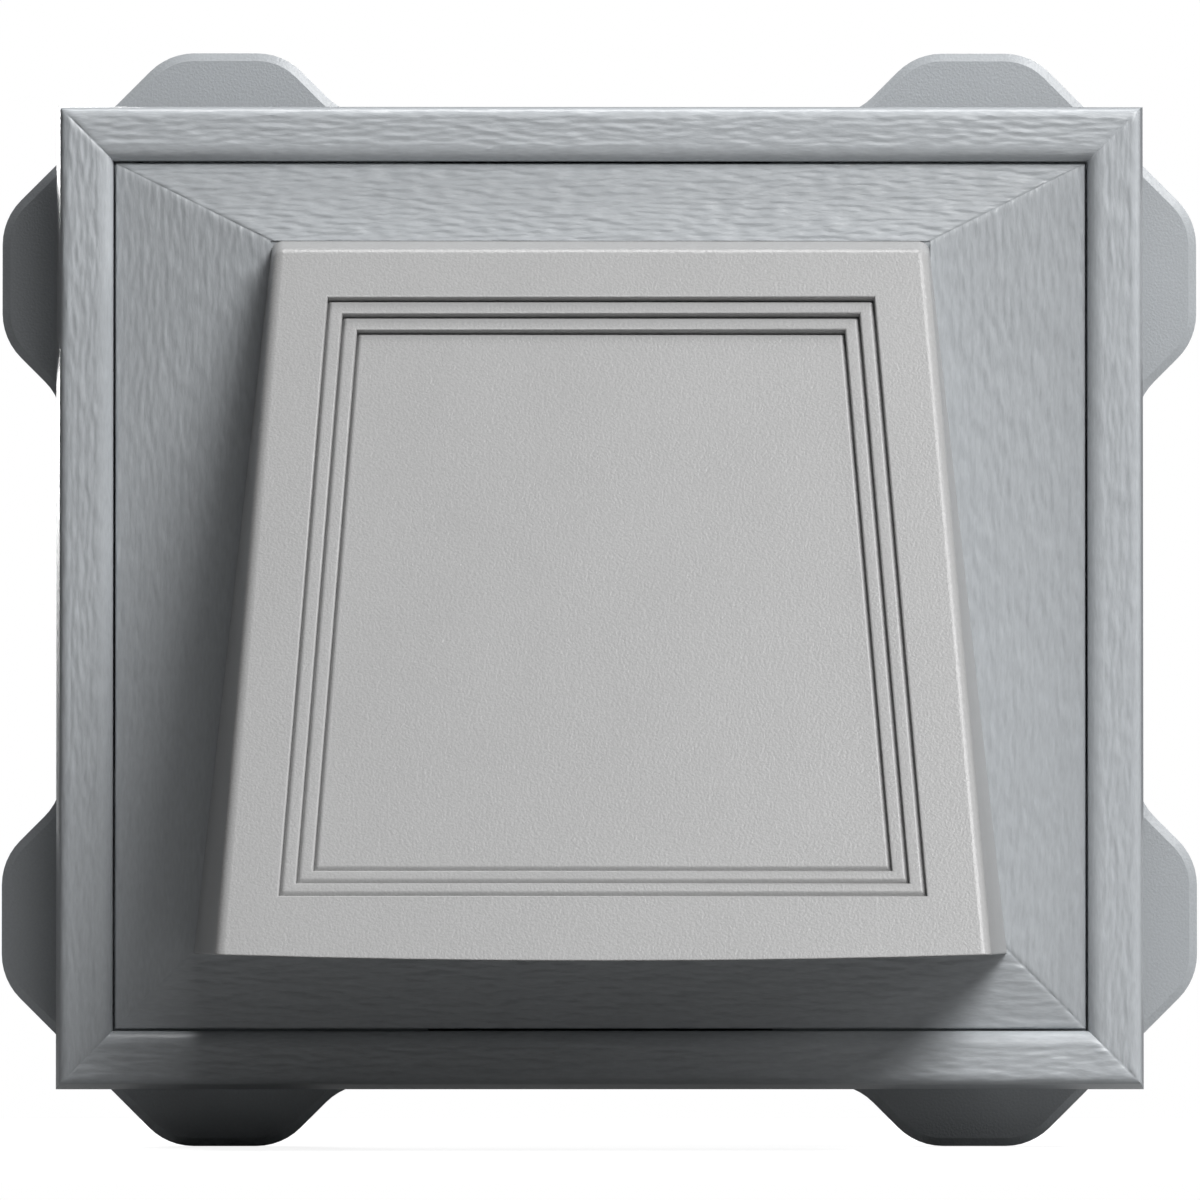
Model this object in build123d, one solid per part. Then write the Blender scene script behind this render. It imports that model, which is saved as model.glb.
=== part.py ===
"""Hooded wall vent for a 4 inch duct: flanged block, push-on trim ring, hood, flap and guard.

Every piece is drawn facing up, with the wall at height zero, X to the right, Y up the wall and
Z out of the wall. `stand` then turns it upright: +Z is up and the front faces -Y.
"""
from build123d import *
import math
import os

# Driving dimensions, in millimetres

# Nailing flange: overall size and the eight lobes of its outline
FLANGE_WIDTH = 209.6
FLANGE_HEIGHT = 191.8
FLANGE_THICK = 2.2
FLANGE_BEVEL_RUN = 1.4  # shallow bevel around the flange's front edge
FLANGE_BEVEL_DROP = 0.65
LOBE_REACH_SIDE = 9.85  # lobes beyond the trim ring
LOBE_REACH_TOP = 10.05
CORNER_CUT = 29.1  # legs of the 45 degree corner cuts
TOP_LOBE_LENGTH = 49.2  # from the flange's side to where the lobe's inner slope meets its flat
SIDE_LOBE_LENGTH = 50.3
LOBE_BLEND = 11.0
VALLEY_TUCK = 0.8  # the valleys end this far behind the ring's outer edge

# Block that stands out of the flange, inside the ring, with a low hipped front panel
BLOCK_DEPTH = 22.2  # wall to the panel's outer edge
BLOCK_WALL = 2.0
PANEL_RISE = 3.0
PANEL_WALL = 2.2
PANEL_SIDE_RUN = 27.0  # width of the slope on the sides and below
PANEL_TOP_RUN = 13.6

# Trim ring that slides on the block
RING_GAP = 0.3  # to the tips of the block's ratchet ridges
RING_FACE = 9.95  # width over its back edge
RING_DEPTH = 14.0
RING_DRAFT = 4.5  # degrees that the outer walls lean in towards the front
RING_PROUD = 2.8  # crest above the panel's outer edge
RING_WALL = 2.0
RING_LEG_LENGTH = 19.0
RING_LIP_GAP = 0.4  # lip at the inner front edge, nearer to the block than the rest
RING_LIP_DEPTH = 4.0
RING_OUTER_ROUND = 1.6
RING_INNER_ROUND = 2.6
RIDGE_HEIGHT = 0.4
RIDGE_HALF_BASE = 0.65
RIDGE_PITCH = 2.0
RIDGE_COUNT = 5
RIDGE_SPAN = 60.0
RIDGE_START = 7.0

# Hood: a wedge that leans out from its top edge to the lip
HOOD_BESIDE_POCKET = 3.0  # the hood's upper corners, where it meets the panel's flat
HOOD_OVER_POCKET = 4.6
HOOD_UNDER_POCKET = 10.4  # lowest point, in the middle of the bowed lip
HOOD_FLARE = 13.6  # each side is this much further out at the lip
HOOD_LIP_SAG = 1.2
HOOD_STEP = 8.0  # front face above the panel at its top edge
HOOD_FACE_LEAN = 23.0  # degrees from the wall
HOOD_SIDE_DRAFT = 4.7
HOOD_TOP_DRAFT = 13.2
HOOD_WALL = 2.4
HOOD_EDGE_ROUND = 2.0
RECESS_BORDER = 10.0
RECESS_RAISE = 0.75  # the recess sits this much above the middle of the face
RECESS_PITCH = 2.7
RECESS_STEP = 0.9
RECESS_STEPS = 3
GROOVE_DEPTH = 1.0  # groove along the foot of each step, below the step's level
GROOVE_WIDTH = 0.6
GROOVE_FOOT_EXTRA = 0.35  # wider along the recess's lower edge
HOOD_TAB_WIDTH = 8.0
HOOD_TAB_THICK = 1.6
HOOD_TAB_REACH = 5.0
HOOD_TAB_HEIGHTS = (34.0, -34.0)
HOOD_TAB_GAP = 0.25

# Flap pocket and duct spigot
DUCT_RADIUS = 50.0  # outside of the spigot, for a 4 inch duct
DUCT_WALL = 2.0
DUCT_LENGTH = 45.0
SPIGOT_ROOT_THICK = 3.0
POCKET_BESIDE_FLAP = 3.2
POCKET_UNDER_FLAP = 2.2
POCKET_OVER_PIVOT = 4.4
POCKET_DEPTH = 10.2  # floor behind the panel's outer edge
POCKET_WALL = 2.0
SEAT_HEIGHT = 1.1
SEAT_WIDTH = 2.2
RIB_THICK = 2.0
RIB_DEPTH = 14.0

# Flap
FLAP_LAP = 0.6  # cover beyond the seat
FLAP_THICK = 1.8
FLAP_REST_GAP = 0.3
FLAP_RIM = 2.0
PIVOT_OVER_FLAP = 1.8  # pivot above the top of the flap's round part
PIVOT_RADIUS = 1.6
PIVOT_GAP = 0.1
PIVOT_END_GAP = 0.4

# Pest guard
GUARD_GAP = 0.3
GUARD_THICK = 2.6
GUARD_FRAME = 3.0
GUARD_BAR = 2.0
GUARD_PITCH = 12.0
LEDGE_REACH = 2.6
LEDGE_THICK = 1.6
LEDGE_LENGTH = 14.0

# Nail slots
SLOT_RADIUS = 2.0
SLOT_LENGTH = 14.0
TOP_SLOT_INSET = 40.8  # slot's middle from the flange's side
SIDE_SLOT_INSET = 39.9  # the same from its top and bottom
SLOT_FROM_BLOCK = 5.3

# Derived sizes
FLANGE_HALF_W = FLANGE_WIDTH / 2
FLANGE_HALF_H = FLANGE_HEIGHT / 2
RING_HALF_W = FLANGE_HALF_W - LOBE_REACH_SIDE
RING_HALF_H = FLANGE_HALF_H - LOBE_REACH_TOP
RING_INNER_GAP = RIDGE_HEIGHT + RING_GAP
HALF_W = RING_HALF_W - RING_FACE - RING_INNER_GAP
HALF_H = RING_HALF_H - RING_FACE - RING_INNER_GAP
PANEL_TOP_OUT = BLOCK_DEPTH + PANEL_RISE
RING_CREST = BLOCK_DEPTH + RING_PROUD
POCKET_FLOOR = BLOCK_DEPTH - POCKET_DEPTH
DUCT_BORE = DUCT_RADIUS - DUCT_WALL
SEAT_RADIUS = DUCT_BORE + SEAT_WIDTH
FLAP_RADIUS = SEAT_RADIUS + FLAP_LAP
FLAP_BACK = POCKET_FLOOR + SEAT_HEIGHT + FLAP_REST_GAP
PIVOT_HEIGHT = FLAP_RADIUS + PIVOT_OVER_FLAP
PIVOT_OUT = FLAP_BACK + FLAP_THICK / 2 - FLAP_REST_GAP
POCKET_HALF = FLAP_RADIUS + POCKET_BESIDE_FLAP
POCKET_TOP = PIVOT_HEIGHT + POCKET_OVER_PIVOT
POCKET_BOTTOM = -FLAP_RADIUS - POCKET_UNDER_FLAP
HOOD_TOP_HALF = POCKET_HALF + HOOD_BESIDE_POCKET
HOOD_BOTTOM_HALF = HOOD_TOP_HALF + HOOD_FLARE
HOOD_TOP = POCKET_TOP + HOOD_OVER_POCKET
HOOD_LIP = POCKET_BOTTOM - HOOD_UNDER_POCKET
BACKING_BORDER = RECESS_BORDER - HOOD_WALL  # behind the recess, the wall steps in as well
BACKING_DEPTH = HOOD_WALL + RECESS_STEP * RECESS_STEPS
FAR = 400.0  # longer than any piece, for cutting blocks
NEAR = 0.01  # for telling whether a point lies on a face


def stand(piece):
    """Turn a piece drawn facing up into the vent's own frame, upright and facing -Y."""
    return Plane.XZ * piece


def plate(outline, low, high):
    """Extrude an outline between two heights above the wall."""
    return extrude(Plane.XY.offset(low) * outline, high - low)


def slab(x_low, x_high, y_low, y_high, z_low, z_high):
    """Box between the given limits."""
    size = (x_high - x_low, y_high - y_low, z_high - z_low)
    centre = ((x_low + x_high) / 2, (y_low + y_high) / 2, (z_low + z_high) / 2)
    return Pos(*centre) * Box(*size)


def flange_outline():
    """Eight-lobed outline: cut corners and a shallow valley in the middle of each side."""
    lobe_x = FLANGE_HALF_W - TOP_LOBE_LENGTH
    lobe_y = FLANGE_HALF_H - SIDE_LOBE_LENGTH
    drop_x = LOBE_REACH_SIDE + VALLEY_TUCK
    drop_y = LOBE_REACH_TOP + VALLEY_TUCK
    upper_right = [
        (FLANGE_HALF_W - drop_x, lobe_y - drop_x),
        (FLANGE_HALF_W, lobe_y),
        (FLANGE_HALF_W, FLANGE_HALF_H - CORNER_CUT),
        (FLANGE_HALF_W - CORNER_CUT, FLANGE_HALF_H),
        (lobe_x, FLANGE_HALF_H),
        (lobe_x - drop_y, FLANGE_HALF_H - drop_y),
    ]
    upper_left = [(-x, y) for x, y in reversed(upper_right)]
    lower_left = [(-x, -y) for x, y in upper_right]
    lower_right = [(x, -y) for x, y in reversed(upper_right)]
    points = upper_right + upper_left + lower_left + lower_right
    sharp = make_face(Polyline(*points, close=True))
    return fillet(sharp.vertices(), LOBE_BLEND)


def hipped_block(inset, depth):
    """Block with a low hipped front; an inset and less depth draw its hollow in the same way."""
    outline = Rectangle(2 * (HALF_W - inset), 2 * (HALF_H - inset))
    top_low = PANEL_SIDE_RUN - HALF_H
    top_high = HALF_H - PANEL_TOP_RUN
    top_half = HALF_W - PANEL_SIDE_RUN
    crown = Pos(0, (top_low + top_high) / 2) * Rectangle(2 * top_half, top_high - top_low)
    lower = Plane.XY.offset(depth) * outline
    upper = Plane.XY.offset(depth + PANEL_RISE) * crown
    return plate(outline, 0, depth) + loft([lower, upper], ruled=True)


def panel_envelope():
    """Outer form of the block, which the hood is trimmed to sit on."""
    return hipped_block(0, BLOCK_DEPTH)


def side_flare():
    """Angle by which the hood's sides spread downwards."""
    return math.atan2(HOOD_FLARE, HOOD_TOP - HOOD_LIP)


def side_plane(inset, sign):
    """Plane of the hood's side wall, moved in by inset."""
    flare = side_flare()
    draft = math.radians(HOOD_SIDE_DRAFT)
    normal = Vector(
        sign * math.cos(flare) * math.cos(draft),
        math.sin(flare) * math.cos(draft),
        math.sin(draft),
    )
    origin = Vector(sign * HOOD_TOP_HALF, HOOD_TOP, PANEL_TOP_OUT)
    return Plane(origin=origin - normal * inset, z_dir=normal)


def top_plane(inset):
    """Plane of the hood's top wall, moved in by inset."""
    draft = math.radians(HOOD_TOP_DRAFT)
    normal = Vector(0, math.cos(draft), math.sin(draft))
    origin = Vector(0, HOOD_TOP, PANEL_TOP_OUT)
    return Plane(origin=origin - normal * inset, z_dir=normal)


def face_plane(inset):
    """Plane of the hood's front face, moved in by inset; its Y axis runs up the face."""
    lean = math.radians(HOOD_FACE_LEAN)
    normal = Vector(0, math.sin(lean), math.cos(lean))
    top_edge = HOOD_TOP - HOOD_STEP * math.tan(math.radians(HOOD_TOP_DRAFT))
    origin = Vector(0, top_edge, PANEL_TOP_OUT + HOOD_STEP)
    return Plane(origin=origin - normal * inset, x_dir=(1, 0, 0), z_dir=normal)


def hood_form(inset):
    """Closed wedge in front of the block, between the hood's walls, moved in by inset and open below."""
    form = slab(-FAR, FAR, -FLANGE_HEIGHT, FAR, BLOCK_DEPTH, FAR)
    walls = [side_plane(inset, 1), side_plane(inset, -1), top_plane(inset), face_plane(inset)]
    for wall in walls:
        form = split(form, bisect_by=wall, keep=Keep.BOTTOM)
    return form


def lip_trim():
    """Everything above the bowed lip line."""
    reach = 2 * HOOD_BOTTOM_HALF
    ends = HOOD_LIP + 4 * HOOD_LIP_SAG
    bow = ThreePointArc((-reach, ends), (0, HOOD_LIP), (reach, ends))
    rest = Polyline((reach, ends), (reach, FAR), (-reach, FAR), (-reach, ends))
    return plate(make_face(bow + rest), 0, FAR)


def face_half_width(up):
    """Half width of the hood's front face, at a distance up the face from its top edge."""
    front = face_plane(0)
    wall = side_plane(0, 1)
    across = wall.z_dir.dot(wall.origin - front.origin) - up * wall.z_dir.dot(front.y_dir)
    return across / wall.z_dir.X


def face_outline(border, foot_extra=0):
    """Hood's front face in its own plane, with a border taken off all round, and more at the foot."""
    lip_end = HOOD_LIP + HOOD_LIP_SAG
    low = (lip_end - face_plane(0).origin.Y) / math.cos(math.radians(HOOD_FACE_LEAN))
    spread = math.atan2(face_half_width(low) - face_half_width(0), -low)
    aside = border / math.cos(spread)
    upper = -border
    lower = low + border + foot_extra
    half_upper = face_half_width(upper) - aside
    half_lower = face_half_width(lower) - aside
    corners = [(-half_upper, upper), (half_upper, upper), (half_lower, lower), (-half_lower, lower)]
    return make_face(Polyline(*corners, close=True))


def on_face(outline, low, high):
    """Extrude an outline of the hood's face between two depths, negative being inward."""
    return face_plane(-low) * extrude(outline, high - low)


def tab_places():
    """Centre, turn and side of each hood tab, in the middle of the side wall's thickness."""
    flare = side_flare()
    for up in HOOD_TAB_HEIGHTS:
        outside = HOOD_TOP_HALF + (HOOD_TOP - up) * math.tan(flare)
        middle = outside - HOOD_WALL / 2
        for sign in (1, -1):
            yield Pos(sign * middle, up) * Rot(0, 0, sign * math.degrees(flare))


def tab_blocks(gap):
    """The hood's snap tabs, grown by a gap to draw their slots in the panel."""
    low = BLOCK_DEPTH - PANEL_WALL - HOOD_TAB_REACH
    section = Rectangle(HOOD_TAB_THICK + 2 * gap, HOOD_TAB_WIDTH + 2 * gap)
    tab = plate(section, low, PANEL_TOP_OUT + HOOD_TAB_THICK)
    return [place * tab for place in tab_places()]


def ridge(length):
    """One ratchet ridge, lying along X with its tip pointing up Y."""
    section = Polyline((0, -RIDGE_HALF_BASE), (RIDGE_HEIGHT, 0), (0, RIDGE_HALF_BASE), close=True)
    return extrude(Plane.YZ * make_face(section), length / 2, both=True)


def ratchet_ridges():
    """Rows of ridges on the four block walls, hidden behind the trim ring."""
    rows = []
    for step in range(RIDGE_COUNT):
        out = RIDGE_START + step * RIDGE_PITCH
        for turn, reach in ((0, HALF_H), (90, HALF_W), (180, HALF_H), (270, HALF_W)):
            rows.append(Rot(0, 0, turn) * Pos(0, reach, out) * ridge(RIDGE_SPAN))
    return rows


def nail_slots():
    """Eight slots through the flange: two along each side, in the middle of the lobes."""
    slot = SlotOverall(SLOT_LENGTH, 2 * SLOT_RADIUS)
    top_x = FLANGE_HALF_W - TOP_SLOT_INSET
    top_y = HALF_H + SLOT_FROM_BLOCK
    side_x = HALF_W + SLOT_FROM_BLOCK
    side_y = FLANGE_HALF_H - SIDE_SLOT_INSET
    cuts = []
    for x_sign in (1, -1):
        for y_sign in (1, -1):
            along_x = Pos(x_sign * top_x, y_sign * top_y) * slot
            along_y = Pos(x_sign * side_x, y_sign * side_y) * Rot(0, 0, 90) * slot
            cuts += [plate(along_x, -FAR, FAR), plate(along_y, -FAR, FAR)]
    return cuts


def back_ribs():
    """Four ribs from the spigot's root to the block walls."""
    low = BLOCK_DEPTH - PANEL_WALL - RIB_DEPTH
    half = RIB_THICK / 2
    ribs = []
    for sign in (1, -1):
        across = sorted((sign * DUCT_RADIUS, sign * (HALF_W - BLOCK_WALL / 2)))
        upright = sorted((sign * DUCT_RADIUS, sign * (HALF_H - BLOCK_WALL / 2)))
        ribs.append(slab(*across, -half, half, low, PANEL_TOP_OUT))
        ribs.append(slab(-half, half, *upright, low, PANEL_TOP_OUT))
    return ribs


def tube(radius, low, high):
    """Round bar on the duct's axis between two heights above the wall."""
    return plate(Circle(radius), low, high)


def mounting_base():
    """Flange, block, flap pocket and duct spigot, moulded as one piece."""
    flange = plate(flange_outline(), 0, FLANGE_THICK)
    front = flange.faces().sort_by(Axis.Z)[-1]
    flange = chamfer(front.edges(), FLANGE_BEVEL_RUN, FLANGE_BEVEL_DROP, reference=front)
    envelope = panel_envelope()
    hollow = hipped_block(BLOCK_WALL, BLOCK_DEPTH - PANEL_WALL)
    shell = flange + envelope - hollow
    side = POCKET_HALF + POCKET_WALL
    under = POCKET_BOTTOM - POCKET_WALL
    over = POCKET_TOP + POCKET_WALL
    floor_back = POCKET_FLOOR - PANEL_WALL
    pocket = slab(-side, side, under, over, floor_back, FAR)
    inner_form = [pocket] + back_ribs()
    shell += [piece & envelope for piece in inner_form]
    shell += tube(DUCT_RADIUS + SPIGOT_ROOT_THICK, 0, POCKET_FLOOR)
    shell += tube(DUCT_RADIUS, -DUCT_LENGTH, POCKET_FLOOR)
    shell -= slab(-POCKET_HALF, POCKET_HALF, POCKET_BOTTOM, POCKET_TOP, POCKET_FLOOR, FAR)
    shell += tube(SEAT_RADIUS, POCKET_FLOOR, POCKET_FLOOR + SEAT_HEIGHT)
    shell -= tube(DUCT_BORE, -FAR, FAR)
    shell += ratchet_ridges()
    pivot = Pos(0, PIVOT_HEIGHT, PIVOT_OUT) * Rot(0, 90, 0)
    shell -= pivot * Cylinder(PIVOT_RADIUS + PIVOT_GAP, 2 * (side + PIVOT_END_GAP))
    shell -= nail_slots() + tab_blocks(HOOD_TAB_GAP)
    return shell


def ring_rectangle(out_from_inner):
    """Rectangle around the block, at a distance out from the ring's inner face."""
    grow = RING_INNER_GAP + out_from_inner
    return Rectangle(2 * (HALF_W + grow), 2 * (HALF_H + grow))


def ring_block(inset, front):
    """Block up to a height, with the ring's leaning outer walls moved in by inset."""
    back = RING_CREST - RING_DEPTH
    lean = (front - back) * math.tan(math.radians(RING_DRAFT))
    lower = Plane.XY.offset(back) * ring_rectangle(RING_FACE - inset)
    upper = Plane.XY.offset(front) * ring_rectangle(RING_FACE - inset - lean)
    return loft([lower, upper], ruled=True)


def trim_ring():
    """Picture-frame ring: a channel section with rounded front edges and sharp mitred corners."""
    back = RING_CREST - RING_DEPTH
    leg_back = RING_CREST - RING_LEG_LENGTH
    lip_back = RING_CREST - RING_LIP_DEPTH
    leg = ring_rectangle(RING_WALL)
    lip_inside = ring_rectangle(RING_LIP_GAP - RING_INNER_GAP)
    frame = ring_block(0, RING_CREST) + plate(leg, leg_back, RING_CREST)
    frame -= plate(ring_rectangle(0), leg_back, lip_back)
    frame -= plate(lip_inside, lip_back, RING_CREST)
    front = frame.edges().group_by(Axis.Z)[-1]
    outer = front.filter_by(lambda e: is_outer(e.center()))
    frame = fillet(outer, RING_OUTER_ROUND)
    front = frame.edges().group_by(Axis.Z)[-1]
    inner = front.filter_by(lambda e: not is_outer(e.center()))
    frame = fillet(inner, RING_INNER_ROUND)
    under = RING_CREST - RING_WALL
    return frame - (ring_block(RING_WALL, under) - plate(leg, back, under))


def is_outer(point):
    """Whether a point of the ring's front lies on the outer half of its width."""
    middle = RING_INNER_GAP + RING_FACE / 2
    return abs(point.X) > HALF_W + middle or abs(point.Y) > HALF_H + middle


def guard_low():
    """Height of the guard's underside, just clear below the backing of the face's recess."""
    lean = math.radians(HOOD_FACE_LEAN)
    lip_end = HOOD_LIP + HOOD_LIP_SAG
    backing_low = lip_end + BACKING_BORDER * math.cos(lean) - BACKING_DEPTH * math.sin(lean)
    return backing_low - GUARD_GAP - GUARD_THICK


def guard_ledges():
    """Short ledges on the hood's side walls, which carry the guard."""
    top = guard_low()
    strip = slab(-FAR, FAR, top - LEDGE_THICK, top, 0, FAR)
    strip = strip & hood_form(HOOD_WALL / 2)
    strip -= hood_form(HOOD_WALL + LEDGE_REACH)
    first = PANEL_TOP_OUT + LEDGE_LENGTH
    starts = (first, first + 2 * LEDGE_LENGTH)
    return [strip & slab(-FAR, FAR, -FAR, FAR, out, out + LEDGE_LENGTH) for out in starts]


def recess_cut(step):
    """One step of the recess: its floor slopes down at the edge into a groove along the step's foot."""
    border = RECESS_BORDER + step * RECESS_PITCH
    raised = Pos(0, RECESS_RAISE)
    edge = raised * face_outline(border)
    slope_top = raised * face_outline(border + GROOVE_WIDTH, GROOVE_FOOT_EXTRA)
    floor = (step + 1) * RECESS_STEP
    groove = floor + GROOVE_DEPTH
    slope = loft([face_plane(groove) * edge, face_plane(floor) * slope_top], ruled=True)
    return on_face(edge, -groove, HOOD_WALL) - slope


def hood():
    """Wedge shell, open behind and below, seated on the panel all round."""
    form = hood_form(0) & lip_trim()
    corners = [e for e in form.edges() if is_hood_corner(e)]
    form = fillet(corners, HOOD_EDGE_ROUND)
    backing = on_face(face_outline(BACKING_BORDER), -BACKING_DEPTH, -HOOD_WALL / 2)
    shell = form - hood_form(HOOD_WALL) + backing
    shell -= [recess_cut(step) for step in range(RECESS_STEPS)]
    shell += guard_ledges()
    shell -= panel_envelope()
    shell += tab_blocks(0)
    return shell


def is_hood_corner(edge):
    """Whether an edge is one of the hood's five outer corners, above the lip and in front of the block."""
    ends = edge.vertices()
    return max(v.Z for v in ends) > BLOCK_DEPTH + NEAR and max(v.Y for v in ends) > 0


def damper_flap():
    """Flap with a stiffening rim and its pivot rod, hanging shut on the seat."""
    upper = Pos(0, PIVOT_HEIGHT / 2) * Rectangle(2 * FLAP_RADIUS, PIVOT_HEIGHT)
    outline = upper + Circle(FLAP_RADIUS)
    front = FLAP_BACK + FLAP_THICK
    rim = outline - offset(outline, amount=-FLAP_THICK)
    flap = plate(outline, FLAP_BACK, front) + plate(rim, FLAP_BACK, front + FLAP_RIM)
    flap -= slab(-FAR, FAR, PIVOT_HEIGHT - 2 * PIVOT_RADIUS, FAR, front, FAR)
    rod_length = 2 * (POCKET_HALF + POCKET_WALL - PIVOT_END_GAP)
    rod = Pos(0, PIVOT_HEIGHT, PIVOT_OUT) * Rot(0, 90, 0) * Cylinder(PIVOT_RADIUS, rod_length)
    return flap + rod


def pest_guard():
    """Grille across the hood's mouth: a frame and bars from front to back."""
    low = guard_low()
    high = low + GUARD_THICK
    inset = HOOD_WALL + GUARD_GAP
    layer = slab(-FAR, FAR, low, high, BLOCK_DEPTH, FAR)
    panel = Pos(0, 0, GUARD_GAP) * panel_envelope()
    frame = (layer & hood_form(inset)) - panel
    window = (layer & hood_form(inset + GUARD_FRAME)) - Pos(0, 0, GUARD_FRAME) * panel
    half_bar = GUARD_BAR / 2
    count = math.floor(window.bounding_box().max.X / GUARD_PITCH)
    for step in range(-count, count + 1):
        middle = step * GUARD_PITCH
        window -= slab(middle - half_bar, middle + half_bar, low, high, 0, FAR)
    return frame - window


PIECES = {
    "mounting_base": mounting_base,
    "trim_ring": trim_ring,
    "hood": hood,
    "damper_flap": damper_flap,
    "pest_guard": pest_guard,
}

os.makedirs("parts", exist_ok=True)
for node, make in PIECES.items():
    export_step(stand(make()), f"parts/{node}.step")
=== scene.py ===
"""Looks of a hooded wall vent: grained trim ring and panel, satin hood, flap, guard and studio.

Sizes are in metres, angles in degrees and powers in watts.
"""

import logging
import math
from dataclasses import dataclass, field
from enum import Enum
from typing import Callable, Sequence

import bmesh
import bpy
from mathutils import Matrix, Vector, noise


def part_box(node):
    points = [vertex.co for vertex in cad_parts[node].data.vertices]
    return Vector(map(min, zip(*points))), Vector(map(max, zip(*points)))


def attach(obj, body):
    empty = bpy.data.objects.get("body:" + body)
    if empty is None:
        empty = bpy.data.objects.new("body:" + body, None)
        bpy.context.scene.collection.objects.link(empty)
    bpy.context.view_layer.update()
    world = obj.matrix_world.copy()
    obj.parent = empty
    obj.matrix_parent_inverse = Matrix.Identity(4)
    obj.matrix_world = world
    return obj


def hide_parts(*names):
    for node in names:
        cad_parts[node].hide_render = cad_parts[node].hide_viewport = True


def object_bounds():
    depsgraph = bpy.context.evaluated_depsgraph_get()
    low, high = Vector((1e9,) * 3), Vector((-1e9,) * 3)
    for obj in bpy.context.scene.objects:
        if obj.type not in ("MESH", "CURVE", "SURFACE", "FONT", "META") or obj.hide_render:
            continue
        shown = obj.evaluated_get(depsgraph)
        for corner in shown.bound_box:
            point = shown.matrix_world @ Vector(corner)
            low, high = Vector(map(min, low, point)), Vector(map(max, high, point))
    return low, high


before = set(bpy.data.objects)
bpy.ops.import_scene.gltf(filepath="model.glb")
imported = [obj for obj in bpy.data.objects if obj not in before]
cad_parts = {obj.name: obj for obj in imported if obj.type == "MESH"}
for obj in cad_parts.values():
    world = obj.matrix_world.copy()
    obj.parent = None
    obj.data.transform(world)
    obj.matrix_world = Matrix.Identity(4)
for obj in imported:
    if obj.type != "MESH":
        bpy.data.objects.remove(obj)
CAD_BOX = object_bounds()

MM = 0.001
WELD = 0.001 * MM

# The middle of a noise, which spreads over the whole range of what it drives.
NOISE_LOW = 0.3
NOISE_HIGH = 0.7

# Sockets of a mix node by number: its two values, its two colours and the mixed colour.
MIX_VALUES = (2, 3)
MIX_COLOURS = (6, 7)
MIXED_COLOUR = 2

WHITE = (1.0, 1.0, 1.0, 1.0)

log = logging.getLogger("vent")

Colour = tuple[float, float, float]
Place = tuple[float, float]


class GrainRun(Enum):
    """The way the grain lines run over a board."""

    LEVEL = "level"
    UPRIGHT = "upright"


class Side(Enum):
    """The four sides of a frame, by the turn from the top board, in degrees."""

    TOP = 0.0
    RIGHT = -90.0
    BOTTOM = 180.0
    LEFT = 90.0

    @property
    def run(self) -> GrainRun:
        """Grain direction of the board on this side."""
        return GrainRun.LEVEL if self in (Side.TOP, Side.BOTTOM) else GrainRun.UPRIGHT

    @property
    def neighbours(self) -> tuple["Side", "Side"]:
        """The sides that meet this one.

        Returns:
            The side at the start of its board and the side at the end.
        """
        order = list(Side)
        place = order.index(self)
        return order[place - 1], order[(place + 1) % len(order)]

    @property
    def placing(self) -> Matrix:
        """How a board on this side lies in the frame.

        Returns:
            Matrix from the board's own axes (along, outward, forward) to the frame.
        """
        turn = math.radians(self.value)
        along = Vector((math.cos(turn), 0.0, math.sin(turn)))
        outward = Vector((-math.sin(turn), 0.0, math.cos(turn)))
        forward = Vector((0.0, -1.0, 0.0))
        return Matrix((along, outward, forward)).transposed().to_4x4()


@dataclass
class Graph:
    """Shader nodes of one material or world, with short calls to add and wire them."""

    tree: bpy.types.NodeTree

    def add(self, kind: str, inputs: dict | None = None, **settings: object) -> bpy.types.Node:
        """Add a node and fill its sockets.

        Args:
            kind: Blender's name of the node type.
            inputs: socket name or number to a value or to another node's output.
            settings: attributes of the node itself.

        Returns:
            The new node.
        """
        node = self.tree.nodes.new(kind)
        for name, value in settings.items():
            setattr(node, name, value)
        for key, value in (inputs or {}).items():
            if isinstance(value, bpy.types.NodeSocket):
                self.tree.links.new(value, node.inputs[key])
            else:
                node.inputs[key].default_value = value
        return node

    def speckle(self, scale: Sequence[float], detail: float) -> bpy.types.NodeSocket:
        """Noise over the piece's own coordinates.

        Args:
            scale: lumps per metre along x, y and z.
            detail: octaves of finer noise.

        Returns:
            The noise value, about 0.5 on average.
        """
        place = self.add("ShaderNodeTexCoord").outputs["Object"]
        mapped = self.add("ShaderNodeMapping", {"Vector": place, "Scale": tuple(scale)})
        inputs = {"Vector": mapped.outputs[0], "Scale": 1.0, "Detail": detail}
        return self.add("ShaderNodeTexNoise", inputs).outputs[0]

    def ramp(self, value: bpy.types.NodeSocket, low: float, high: float) -> bpy.types.NodeSocket:
        """Map the middle of a noise to a range.

        Args:
            value: noise to map.
            low: result where the noise is low.
            high: result where the noise is high.

        Returns:
            The mapped value.
        """
        inputs = {
            "Value": value, "From Min": NOISE_LOW, "From Max": NOISE_HIGH, "To Min": low, "To Max": high,
        }
        return self.add("ShaderNodeMapRange", inputs).outputs[0]

    def tint(self, share: bpy.types.NodeSocket, colour: Colour, spread: float) -> bpy.types.NodeSocket:
        """Colour that varies around a tint.

        Args:
            share: 0 for the darkest shade and 1 for the lightest.
            colour: the tint in the middle, as linear red, green and blue.
            spread: how far the shades lie from it, as a share.

        Returns:
            The colour.
        """
        dark = tuple(part * (1 - spread) for part in colour) + (1.0,)
        light = tuple(part * (1 + spread) for part in colour) + (1.0,)
        inputs = {"Factor": share, MIX_COLOURS[0]: dark, MIX_COLOURS[1]: light}
        return self.add("ShaderNodeMix", inputs, data_type="RGBA").outputs[MIXED_COLOUR]


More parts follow.
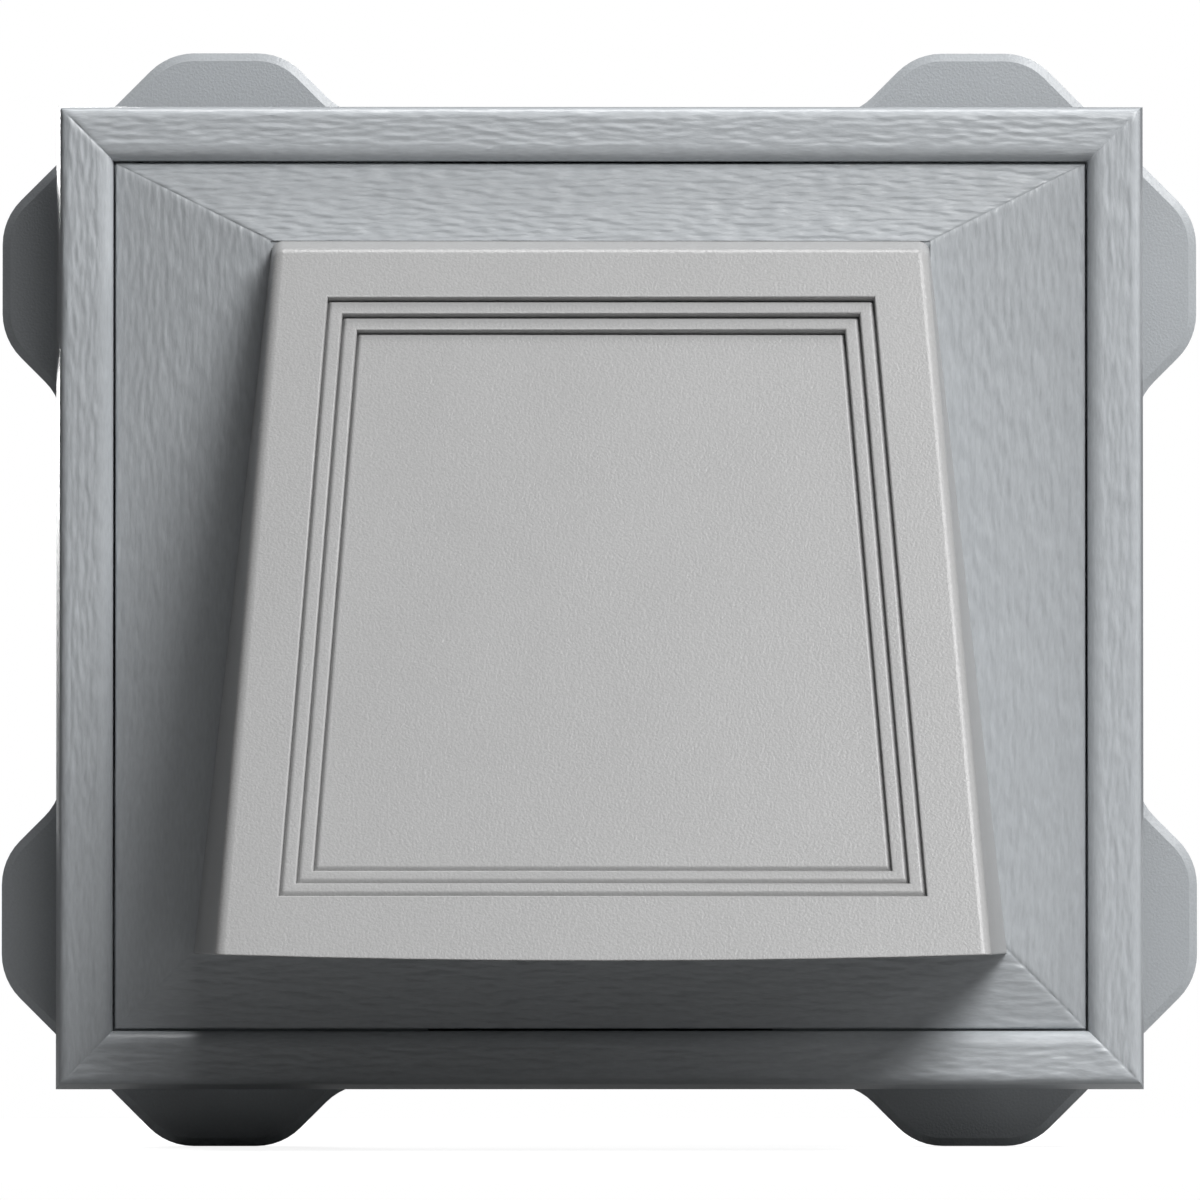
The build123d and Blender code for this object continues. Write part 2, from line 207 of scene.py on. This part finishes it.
@dataclass(frozen=True)
class Plastic:
    """Moulded plastic: a tint that varies a little, a fine surface texture and a soft gloss.

    Attributes:
        name: name of the material.
        colour: the tint, as linear red, green and blue.
        spread: how far the shades lie from the tint, as a share.
        roughness: mean roughness of the gloss.
        roughness_spread: how far the roughness lies from its mean.
        gloss: strength of the gloss.
        lumps: lumps of the surface texture per metre along x, y and z.
        lump_height: height of the lumps.
        lump_detail: octaves of finer lumps.
        clouds: broad patches of tint per metre.
        cloud_detail: octaves of finer patches.
        cloud_share: part of the patches in the tint, against that of the lumps.
    """

    name: str
    colour: Colour
    spread: float = 0.05
    roughness: float = 0.33
    roughness_spread: float = 0.02
    gloss: float = 0.5
    lumps: tuple[float, float, float] = (2300.0, 2300.0, 2300.0)
    lump_height: float = 0.07 * MM
    lump_detail: float = 2.0
    clouds: float = 60.0
    cloud_detail: float = 3.0
    cloud_share: float = 0.15

    def material(self) -> bpy.types.Material:
        """Make the material once.

        Returns:
            The new material, or the one that was made before.
        """
        known = bpy.data.materials.get(self.name)
        if known:
            return known
        material = bpy.data.materials.new(self.name)
        material.use_nodes = True
        graph = Graph(material.node_tree)
        shader = material.node_tree.nodes["Principled BSDF"]
        fine = graph.speckle(self.lumps, self.lump_detail)
        cloud = graph.speckle((self.clouds,) * 3, self.cloud_detail)
        inputs = {"Factor": self.cloud_share, MIX_VALUES[0]: fine, MIX_VALUES[1]: cloud}
        both = graph.add("ShaderNodeMix", inputs).outputs[0]
        colour = graph.tint(graph.ramp(both, 0.0, 1.0), self.colour, self.spread)
        spread = self.roughness_spread
        rough = graph.ramp(cloud, self.roughness - spread, self.roughness + spread)
        inputs = {"Strength": 1.0, "Distance": self.lump_height, "Height": fine}
        bump = graph.add("ShaderNodeBump", inputs)
        links = material.node_tree.links
        links.new(colour, shader.inputs["Base Color"])
        links.new(rough, shader.inputs["Roughness"])
        links.new(bump.outputs[0], shader.inputs["Normal"])
        shader.inputs["Specular IOR Level"].default_value = self.gloss
        return material


@dataclass(frozen=True)
class GrainedPlastic:
    """Plastic whose streaks follow the moulded grain of a board.

    Attributes:
        name: name of the materials, before the run of the grain.
        colour: the tint, as linear red, green and blue.
        streak_length: length of a streak along the grain.
        streak_pitch: distance from streak to streak across the grain.
        streak_height: height of the streaks.
        spread: how far the shades lie from the tint, as a share.
    """

    name: str
    colour: Colour
    streak_length: float = 1.7 * MM
    streak_pitch: float = 0.4 * MM
    streak_height: float = 0.06 * MM
    spread: float = 0.06

    def material(self, run: GrainRun) -> bpy.types.Material:
        """Make the material for boards of one run.

        Args:
            run: the way their grain lines run.

        Returns:
            The material.
        """
        along = 1 / self.streak_length
        across = 1 / self.streak_pitch
        lumps = {
            GrainRun.LEVEL: (along, across, across),
            GrainRun.UPRIGHT: (across, across, along),
        }[run]
        name = f"{self.name}_{run.value}"
        plastic = Plastic(name, self.colour, self.spread, lumps=lumps, lump_height=self.streak_height)
        return plastic.material()


@dataclass(frozen=True)
class WoodGrain:
    """Relief of the moulded wood grain: wavy ridges, fine ones over broad ones.

    Attributes:
        height: height of the ridges.
        pitch: width of a fine ridge.
        length: length of a fine ridge.
        broad: size of the broad ridges, in fine ones.
        broad_share: part of the broad ridges in the height.
        broad_shift: step from a board's seed to that of its broad ridges.
        sway: how far the ridges sway across the board.
        sway_length: length of a sway.
    """

    height: float = 0.23 * MM
    pitch: float = 0.75 * MM
    length: float = 3.2 * MM
    broad: float = 2.7
    broad_share: float = 0.25
    broad_shift: float = 0.5
    sway: float = 0.6 * MM
    sway_length: float = 33.0 * MM

    def relief(self, along: float, across: float, seed: float) -> float:
        """Height of the grain at a place on a board.

        Args:
            along: distance along the board, in metres.
            across: distance across it.
            seed: a number of the board's own, so that no two boards are alike.

        Returns:
            The height above the board's plain face, in metres.
        """
        bend = Vector((along / self.sway_length, across / self.sway_length, seed))
        sway = self.sway * noise.noise(bend)
        place = Vector((along / self.length, (across + sway) / self.pitch, seed))
        wide = Vector((place.x / self.broad, place.y / self.broad, seed + self.broad_shift))
        fine = noise.noise(place) * (1 - self.broad_share)
        return self.height * (fine + noise.noise(wide) * self.broad_share)


class Section:
    """Closed outline across a board; each point holds its share of the grain."""

    def __init__(self, points: Sequence[Place]) -> None:
        """Draw the outline.

        Args:
            points: (outward, forward) corners in order.
        """
        self.mesh = bmesh.new()
        self.share = self.mesh.verts.layers.float.new("grain")
        self.corners = [self.mesh.verts.new((0.0, outward, forward)) for outward, forward in points]
        for here, there in zip(self.corners, self.corners[1:] + self.corners[:1]):
            self.mesh.edges.new((here, there))

    def round_off(self, corner: int, radius: float, steps: int) -> None:
        """Round one corner.

        Args:
            corner: its number in the outline.
            radius: size of the round.
            steps: segments of the round.
        """
        bmesh.ops.bevel(self.mesh, geom=[self.corners[corner]], offset=radius, segments=steps,
                        profile=0.5, affect="VERTICES", material=-1)

    def divide(self, picked: Callable[[Vector], bool], cuts: int) -> None:
        """Divide the edges whose ends are both picked."""
        edges = [e for e in self.mesh.edges if all(picked(v.co) for v in e.verts)]
        bmesh.ops.subdivide_edges(self.mesh, edges=edges, cuts=cuts)

    def grow_grain(self, share: Callable[[Vector], float]) -> None:
        """Set the share of the grain from each point's place."""
        for vert in self.mesh.verts:
            vert[self.share] = share(vert.co)


@dataclass(frozen=True)
class MitreLine:
    """Fine groove where two boards meet.

    Attributes:
        depth: depth of the groove at the mitre.
        width: its width on each side of the mitre.
        rows: rows of faces over that width.
    """

    depth: float = 0.14 * MM
    width: float = 0.6 * MM
    rows: int = 2


@dataclass
class Board:
    """One mitred board of a frame, swept along its side.

    Its own axes run along the side, outward from the frame's middle and forward from the wall.

    Attributes:
        side: the side that it lies on.
        outer: outward place of its outer edge.
        inner: outward place of its inner edge.
        outer_ends: where the outer edge starts and ends along the board.
        inner_ends: where the inner edge starts and ends.
        grain: relief of its face.
        seed: a number of its own for the grain.
        line: groove at its mitres.
        step: length of a row of faces along it.
    """

    side: Side
    outer: float
    inner: float
    outer_ends: Place
    inner_ends: Place
    grain: WoodGrain
    seed: float
    line: MitreLine = field(default_factory=MitreLine)
    step: float = 0.95 * MM

    def mitre(self, outward: float, end: int) -> float:
        """Where the cut at one end lies along the board, at a place across it."""
        share = (outward - self.inner) / (self.outer - self.inner)
        return self.inner_ends[end] + share * (self.outer_ends[end] - self.inner_ends[end])

    def spot(self, row: int, last: int, outward: float) -> tuple[float, float]:
        """Place of one row of the sweep.

        Args:
            row: the row's number.
            last: number of the last row.
            outward: place across the board.

        Returns:
            The place along the board and the distance to the nearest mitre.
        """
        low = self.mitre(outward, 0)
        high = self.mitre(outward, 1)
        rows, width = self.line.rows, self.line.width
        share = min(1.0, max(0.0, (row - rows) / (last - 2 * rows)))
        along = low + width + share * (high - low - 2 * width)
        along -= width * max(0, rows - row) / rows
        along += width * max(0, row - last + rows) / rows
        return along, min(along - low, high - along)

    def shape(self, section: Section) -> bmesh.types.BMesh:
        """Sweep a section along the board and raise the grain on it.

        Args:
            section: the board's section, which is used up.

        Returns:
            The board, open at its mitred ends, in the vent's frame.
        """
        mesh = section.mesh
        last = round((self.outer_ends[1] - self.outer_ends[0]) / self.step)
        bmesh.ops.spin(mesh, geom=mesh.edges[:], cent=(0, 0, 0), axis=(1, 0, 0), dvec=(1, 0, 0),
                       angle=0, steps=last)
        for vert in mesh.verts:
            along, gap = self.spot(round(vert.co.x), last, vert.co.y)
            nearness = max(0.0, 1 - gap / self.line.width)
            rise = self.grain.relief(along, vert.co.y, self.seed) * (1 - nearness)
            vert.co.x = along
            vert.co.z += vert[section.share] * (rise - self.line.depth * nearness)
        bmesh.ops.transform(mesh, matrix=self.side.placing, verts=mesh.verts)
        return mesh


def join(name: str, parts: Sequence[tuple[bmesh.types.BMesh, bpy.types.Material]],
         smooth_below: float = 35.0) -> bpy.types.Object:
    """Join meshes into one finished object.

    Args:
        name: the object's name.
        parts: each mesh with its material; the meshes are used up.
        smooth_below: edges flatter than this many degrees are shaded smooth.

    Returns:
        The new object, at the origin.
    """
    data = bpy.data.meshes.new(name)
    whole = bmesh.new()
    finishes: list[bpy.types.Material] = []
    for part, material in parts:
        if material not in finishes:
            finishes.append(material)
        for face in part.faces:
            face.smooth = True
            face.material_index = finishes.index(material)
        part.to_mesh(data)
        whole.from_mesh(data)
        part.free()
    bmesh.ops.remove_doubles(whole, verts=whole.verts, dist=WELD)
    bmesh.ops.recalc_face_normals(whole, faces=whole.faces)
    whole.to_mesh(data)
    whole.free()
    for material in finishes:
        data.materials.append(material)
    data.set_sharp_from_angle(angle=math.radians(smooth_below))
    made = bpy.data.objects.new(name, data)
    bpy.context.scene.collection.objects.link(made)
    return made


def dress(node: str, material: bpy.types.Material) -> bpy.types.Object:
    """Give a solid of the frame its finish.

    Args:
        node: name of the solid.
        material: its finish.

    Returns:
        The solid's object.
    """
    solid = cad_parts[node]
    solid.data.materials.clear()
    solid.data.materials.append(material)
    log.info("%s: dressed", node)
    return solid


@dataclass(frozen=True)
class SoftEdges:
    """Small rounds that moulding leaves on outer edges.

    Attributes:
        radius: size of the rounds.
        steps: segments of a round.
        sharp: edges with a larger turn than this are rounded.
        flat: faces with a smaller turn between them than this are joined first.
    """

    radius: float = 0.35 * MM
    steps: int = 2
    sharp: float = 35.0
    flat: float = 0.3

    def soften(self, node: str, body: str, slot: str, material: bpy.types.Material) -> bpy.types.Object:
        """Stand a copy of a solid with rounded edges in its place.

        Args:
            node: name of the solid.
            body: the body that carries it.
            slot: not used.
            material: its finish.

        Returns:
            The copy.
        """
        mesh = bmesh.new()
        mesh.from_mesh(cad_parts[node].data)
        bmesh.ops.remove_doubles(mesh, verts=mesh.verts, dist=WELD)
        bmesh.ops.dissolve_limit(mesh, angle_limit=math.radians(self.flat), verts=mesh.verts,
                                 edges=mesh.edges)
        limit = math.radians(self.sharp)
        picked = [e for e in mesh.edges if e.is_convex and e.calc_face_angle(0.0) > limit]
        bmesh.ops.bevel(mesh, geom=picked, offset=self.radius, offset_type="OFFSET", segments=self.steps,
                        profile=0.5, affect="EDGES", clamp_overlap=True, material=-1)
        made = join(f"{node}_softened", [(mesh, material)])
        made.modifiers.new("even_faces", "WEIGHTED_NORMAL").keep_sharp = True
        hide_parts(node)
        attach(made, body)
        log.info("%s: %d edges softened, %d faces", node, len(picked), len(made.data.polygons))
        return made


@dataclass
class TrimRing:
    """Picture-frame ring around the block, with grained, mitred boards.

    Attributes:
        finish: its plastic.
        grain: relief of its front.
        face: width from the outer wall's back edge to the inner wall.
        wall: thickness of its walls.
        depth: how far the outer wall runs back from the front.
        draft: lean of the outer wall.
        lip: how far the front reaches past the inner wall.
        lip_depth: depth of that lip.
        outer_round: round of the front's outer edge.
        inner_round: round of its inner edge.
        round_steps: segments of each round.
        cuts: cuts that divide the front for the grain.
        seed_step: step of the grain's seed from board to board.
    """

    finish: GrainedPlastic
    grain: WoodGrain = field(default_factory=WoodGrain)
    face: float = 9.95 * MM
    wall: float = 2.0 * MM
    depth: float = 14.0 * MM
    draft: float = 4.5
    lip: float = 0.3 * MM
    lip_depth: float = 4.0 * MM
    outer_round: float = 1.6 * MM
    inner_round: float = 2.6 * MM
    round_steps: int = 7
    cuts: int = 24
    seed_step: float = 5.3

    def __post_init__(self) -> None:
        """Read the ring's place from the frame."""
        low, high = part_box("trim_ring")
        self.half_width = high.x
        self.half_height = high.z
        self.crest = -low.y
        self.leg_back = -high.y

    def section(self, outer: float) -> Section:
        """Draw the ring's section: a channel with a lip, two rounds and a divided face.

        Args:
            outer: outward place of the board's outer edge.

        Returns:
            The section.
        """
        inner = outer - self.face
        back = self.crest - self.depth
        under = self.crest - self.wall
        lip_back = self.crest - self.lip_depth
        slope = math.tan(math.radians(self.draft))
        front = outer - self.depth * slope
        inside = outer - self.wall
        section = Section([
            (inner, self.leg_back), (inner, lip_back), (inner - self.lip, lip_back),
            (inner - self.lip, self.crest), (front, self.crest), (outer, back), (inside, back),
            (inside - (under - back) * slope, under), (inner + self.wall, under),
            (inner + self.wall, self.leg_back),
        ])
        inner_edge, outer_edge = 3, 4
        section.round_off(inner_edge, self.inner_round, self.round_steps)
        section.round_off(outer_edge, self.outer_round, self.round_steps)
        section.divide(lambda place: place.z > self.crest - WELD, self.cuts)
        section.grow_grain(lambda place: max(0.0, 1 - (self.crest - place.z) / self.outer_round))
        return section

    def board(self, side: Side) -> Board:
        """Lay out the board on one side.

        Args:
            side: the side that it lies on.

        Returns:
            The board, before it is shaped.
        """
        half, outer = self.half_width, self.half_height
        if side.run is GrainRun.UPRIGHT:
            half, outer = outer, half
        inner = outer - self.face
        inner_half = half - self.face
        inner_ends = (-inner_half, inner_half)
        seed = self.seed_step * list(Side).index(side)
        return Board(side, outer, inner, (-half, half), inner_ends, self.grain, seed)

    def build(self) -> bpy.types.Object:
        """Build the ring and let it stand for the plain solid.

        Returns:
            The ring.
        """
        boards = [self.board(side) for side in Side]
        parts = [(b.shape(self.section(b.outer)), self.finish.material(b.side.run)) for b in boards]
        ring = join("trim_ring_grained", parts)
        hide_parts("trim_ring")
        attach(ring, "ring")
        log.info("trim ring: %d faces", len(ring.data.polygons))
        return ring


@dataclass
class MountingBase:
    """Flange and block, with the grained boards of the panel laid over the block's front.

    Attributes:
        plain: plastic of the flange and block.
        finish: plastic of the panel.
        grain: relief of the panel.
        half_width: half the panel's width.
        half_height: half its height.
        depth: how far the block's front edge stands out from the wall.
        rise: how far the panel rises from that edge.
        side_run: width of the panel's slope at the sides and below.
        top_run: width of its slope at the top.
        skin: how far the boards stand proud of the block.
        sunk: thickness of the boards, which sinks them a little into the block.
        edge_round: round of a board's outer edge.
        edge_steps: segments of that round.
        cuts: cuts that divide a board's face for the grain.
        first_seed: seed of the first board's grain.
        seed_step: step of the seed from board to board.
    """

    plain: Plastic
    finish: GrainedPlastic
    grain: WoodGrain = field(default_factory=WoodGrain)
    half_width: float = 84.3 * MM
    half_height: float = 75.2 * MM
    depth: float = 22.2 * MM
    rise: float = 3.0 * MM
    side_run: float = 27.0 * MM
    top_run: float = 13.6 * MM
    skin: float = 0.3 * MM
    sunk: float = 0.4 * MM
    edge_round: float = 0.3 * MM
    edge_steps: int = 3
    cuts: int = 90
    first_seed: float = 40.0
    seed_step: float = 3.7

    def run_of(self, side: Side) -> float:
        """Width of the slope on one side of the panel."""
        return self.top_run if side is Side.TOP else self.side_run

    def board(self, side: Side) -> Board:
        """Lay out the board on one side.

        Args:
            side: the side that it lies on.

        Returns:
            The board, before it is shaped.
        """
        half, outer = self.half_width, self.half_height
        if side.run is GrainRun.UPRIGHT:
            half, outer = outer, half
        first, second = (self.run_of(near) for near in side.neighbours)
        seed = self.first_seed + self.seed_step * list(Side).index(side)
        inner = outer - self.run_of(side)
        return Board(side, outer, inner, (-half, half), (first - half, half - second), self.grain, seed)

    def section(self, board: Board) -> Section:
        """Draw a board's thin section, lying on the panel's slope.

        Args:
            board: the board that it is for.

        Returns:
            The section.
        """
        low = self.depth + self.skin
        high = low + self.rise
        slope = self.rise / (board.outer - board.inner)

        def on_front(place: Vector) -> bool:
            """Whether a place lies on the board's face."""
            return place.z > low + (board.outer - place.y) * slope - WELD

        section = Section([
            (board.inner, high - self.sunk), (board.inner, high), (board.outer, low),
            (board.outer, low - self.sunk),
        ])
        outer_edge = 2
        section.round_off(outer_edge, self.edge_round, self.edge_steps)
        section.divide(on_front, self.cuts)
        section.grow_grain(lambda place: 1.0 if on_front(place) else 0.0)
        return section

    def build(self) -> bpy.types.Object:
        """Dress the solid and lay the grained boards on it.

        Returns:
            The boards, joined into one panel.
        """
        dress("mounting_base", self.plain.material())
        boards = [self.board(side) for side in Side]
        parts = [(b.shape(self.section(b)), self.finish.material(b.side.run)) for b in boards]
        panel = join("panel_grain", parts)
        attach(panel, "base")
        log.info("panel grain: %d faces", len(panel.data.polygons))
        return panel


@dataclass
class Hood:
    """Satin hood with the stepped recess on its face."""

    finish: Plastic
    edges: SoftEdges = field(default_factory=SoftEdges)

    def build(self) -> bpy.types.Object:
        """Soften the hood's edges and dress it."""
        return self.edges.soften("hood", "base", "satin_grey", self.finish.material())


@dataclass
class DamperFlap:
    """Back-draught flap inside the hood."""

    finish: Plastic
    edges: SoftEdges = field(default_factory=SoftEdges)

    def build(self) -> bpy.types.Object:
        """Soften the flap's edges and dress it."""
        return self.edges.soften("damper_flap", "flap", "inner_grey", self.finish.material())


@dataclass
class PestGuard:
    """Grille in the hood's mouth."""

    finish: Plastic
    edges: SoftEdges = field(default_factory=SoftEdges)

    def build(self) -> bpy.types.Object:
        """Soften the guard's edges and dress it."""
        return self.edges.soften("pest_guard", "base", "inner_grey", self.finish.material())


@dataclass(frozen=True)
class SoftLight:
    """One round studio light, placed by its direction from the vent.

    Attributes:
        name: name of the light.
        azimuth: its direction from the vent's front, positive to the right.
        elevation: its direction above level.
        power: its power.
        size: its diameter.
        distance: its distance from the vent's middle.
    """

    name: str
    azimuth: float
    elevation: float
    power: float
    size: float
    distance: float = 1.4

    def place(self, aim: Vector) -> bpy.types.Object:
        """Make the light and point it at the vent.

        Args:
            aim: the place that it points at.

        Returns:
            The light.
        """
        turn = math.radians(self.azimuth)
        lift = math.radians(self.elevation)
        level = math.cos(lift)
        way = Vector((math.sin(turn) * level, -math.cos(turn) * level, math.sin(lift)))
        data = bpy.data.lights.new(self.name, "AREA")
        data.shape = "DISK"
        data.size = self.size
        data.energy = self.power
        lamp = bpy.data.objects.new(self.name, data)
        bpy.context.scene.collection.objects.link(lamp)
        lamp.location = way * self.distance
        lamp.rotation_euler = (aim - lamp.location).to_track_quat("-Z", "Y").to_euler()
        return lamp


@dataclass
class Studio:
    """Pale floor, white surroundings, soft lights and the camera of the photograph.

    Attributes:
        lights: the soft lights.
        ambient: strength of the surroundings as light on the vent.
        floor_size: length of the square floor's sides.
        floor_tint: the floor's colour, as linear red, green and blue.
        floor_glow: how far the floor shows white where it is seen.
        floor_roughness: roughness of the floor.
        floor_gloss: strength of its gloss.
        floor_mottle: patches of its tint per metre.
        floor_detail: octaves of finer patches.
        floor_spread: how far its shades lie from the tint, as a share.
        eye: place of the camera.
        aim: place that the camera points at.
        lens: focal length of the camera, in millimetres.
        sensor: width of its sensor, in millimetres.
    """

    lights: Sequence[SoftLight]
    ambient: float = 0.003
    floor_size: float = 0.7
    floor_tint: Colour = (0.3, 0.3, 0.3)
    floor_glow: float = 0.88
    floor_roughness: float = 0.9
    floor_gloss: float = 0.1
    floor_mottle: float = 9.0
    floor_detail: float = 2.0
    floor_spread: float = 0.01
    eye: Vector = field(default_factory=lambda: Vector((-0.016, -2.2, -0.062)))
    aim: Vector = field(default_factory=lambda: Vector((0.0, -0.012, -0.00045)))
    lens: float = 376.0
    sensor: float = 36.0

    def floor(self) -> None:
        """Lay the floor under the vent; it shows white, with the vent's shadow."""
        mesh = bmesh.new()
        bmesh.ops.create_grid(mesh, x_segments=1, y_segments=1, size=self.floor_size / 2)
        bmesh.ops.translate(mesh, verts=mesh.verts, vec=(0, 0, CAD_BOX[0].z))
        material = bpy.data.materials.new("pale_floor")
        material.use_nodes = True
        graph = Graph(material.node_tree)
        shader = material.node_tree.nodes["Principled BSDF"]
        shader.inputs["Roughness"].default_value = self.floor_roughness
        shader.inputs["Specular IOR Level"].default_value = self.floor_gloss
        shader.inputs["Emission Color"].default_value = WHITE
        mottle = graph.speckle((self.floor_mottle,) * 3, self.floor_detail)
        tint = graph.tint(graph.ramp(mottle, 0.0, 1.0), self.floor_tint, self.floor_spread)
        seen = graph.add("ShaderNodeLightPath").outputs["Is Camera Ray"]
        glow = graph.add("ShaderNodeMath", {0: seen, 1: self.floor_glow}, operation="MULTIPLY")
        links = material.node_tree.links
        links.new(tint, shader.inputs["Base Color"])
        links.new(glow.outputs[0], shader.inputs["Emission Strength"])
        join("floor", [(mesh, material)])

    def surroundings(self) -> None:
        """Make the world white where it is seen, and dim where it lights the vent."""
        world = bpy.data.worlds.new("white_room")
        world.use_nodes = True
        bpy.context.scene.world = world
        graph = Graph(world.node_tree)
        paths = graph.add("ShaderNodeLightPath").outputs
        inputs = {0: paths["Is Camera Ray"], 1: paths["Is Transmission Ray"]}
        seen = graph.add("ShaderNodeMath", inputs, operation="MAXIMUM").outputs[0]
        inputs = {"Value": seen, "To Min": self.ambient, "To Max": 1.0}
        strength = graph.add("ShaderNodeMapRange", inputs).outputs[0]
        back = world.node_tree.nodes["Background"]
        back.inputs["Color"].default_value = WHITE
        world.node_tree.links.new(strength, back.inputs["Strength"])

    def camera(self) -> None:
        """Stand the camera where the photograph was taken from."""
        data = bpy.data.cameras.new("photo_camera")
        data.lens = self.lens
        data.sensor_width = self.sensor
        eye = bpy.data.objects.new("photo_camera", data)
        bpy.context.scene.collection.objects.link(eye)
        eye.location = self.eye
        eye.rotation_euler = (self.aim - self.eye).to_track_quat("-Z", "Y").to_euler()
        bpy.context.scene.camera = eye

    def build(self) -> None:
        """Set up the whole studio."""
        self.floor()
        self.surroundings()
        for light in self.lights:
            light.place(self.aim)
        self.camera()
        bpy.context.scene.view_settings.view_transform = "Standard"
        log.info("studio: %d lights", len(self.lights))


def main() -> None:
    """Build every part of the vent, then the studio around it."""
    logging.basicConfig(level=logging.INFO)
    cool = (0.46, 0.483, 0.504)
    # This tint is the cool tint raised by about a tenth for the trim ring. It is painted light: a
    # lighter copy of the one plastic, standing in for brighter light and sheen on the ring's front.
    cool_with_painted_light = (0.52, 0.546, 0.57)
    neutral = (0.432, 0.432, 0.432)
    grained = GrainedPlastic("grained_plastic", cool)
    # The trim ring's grained plastic, lightened by that painted light.
    grained_with_painted_light = GrainedPlastic("grained_plastic_with_painted_light", cool_with_painted_light)
    plain = Plastic("flange_plastic", cool)
    satin = Plastic("satin_plastic", neutral)
    inner = Plastic("inner_plastic", neutral)
    MountingBase(plain, grained).build()
    TrimRing(grained_with_painted_light).build()
    Hood(satin).build()
    DamperFlap(inner).build()
    PestGuard(inner).build()
    Studio([
        SoftLight("key_light", 35.0, 39.0, 15.4, size=0.7),
        SoftLight("front_light", 12.0, 28.0, 2.6, size=0.6),
        SoftLight("top_light", 5.0, 88.0, 8.0, size=0.5),
        SoftLight("side_light", 78.0, 15.0, 3.0, size=0.4),
        SoftLight("back_light", 200.0, 16.0, 11.0, size=0.7),
    ]).build()


if __name__ == "__main__":
    main()
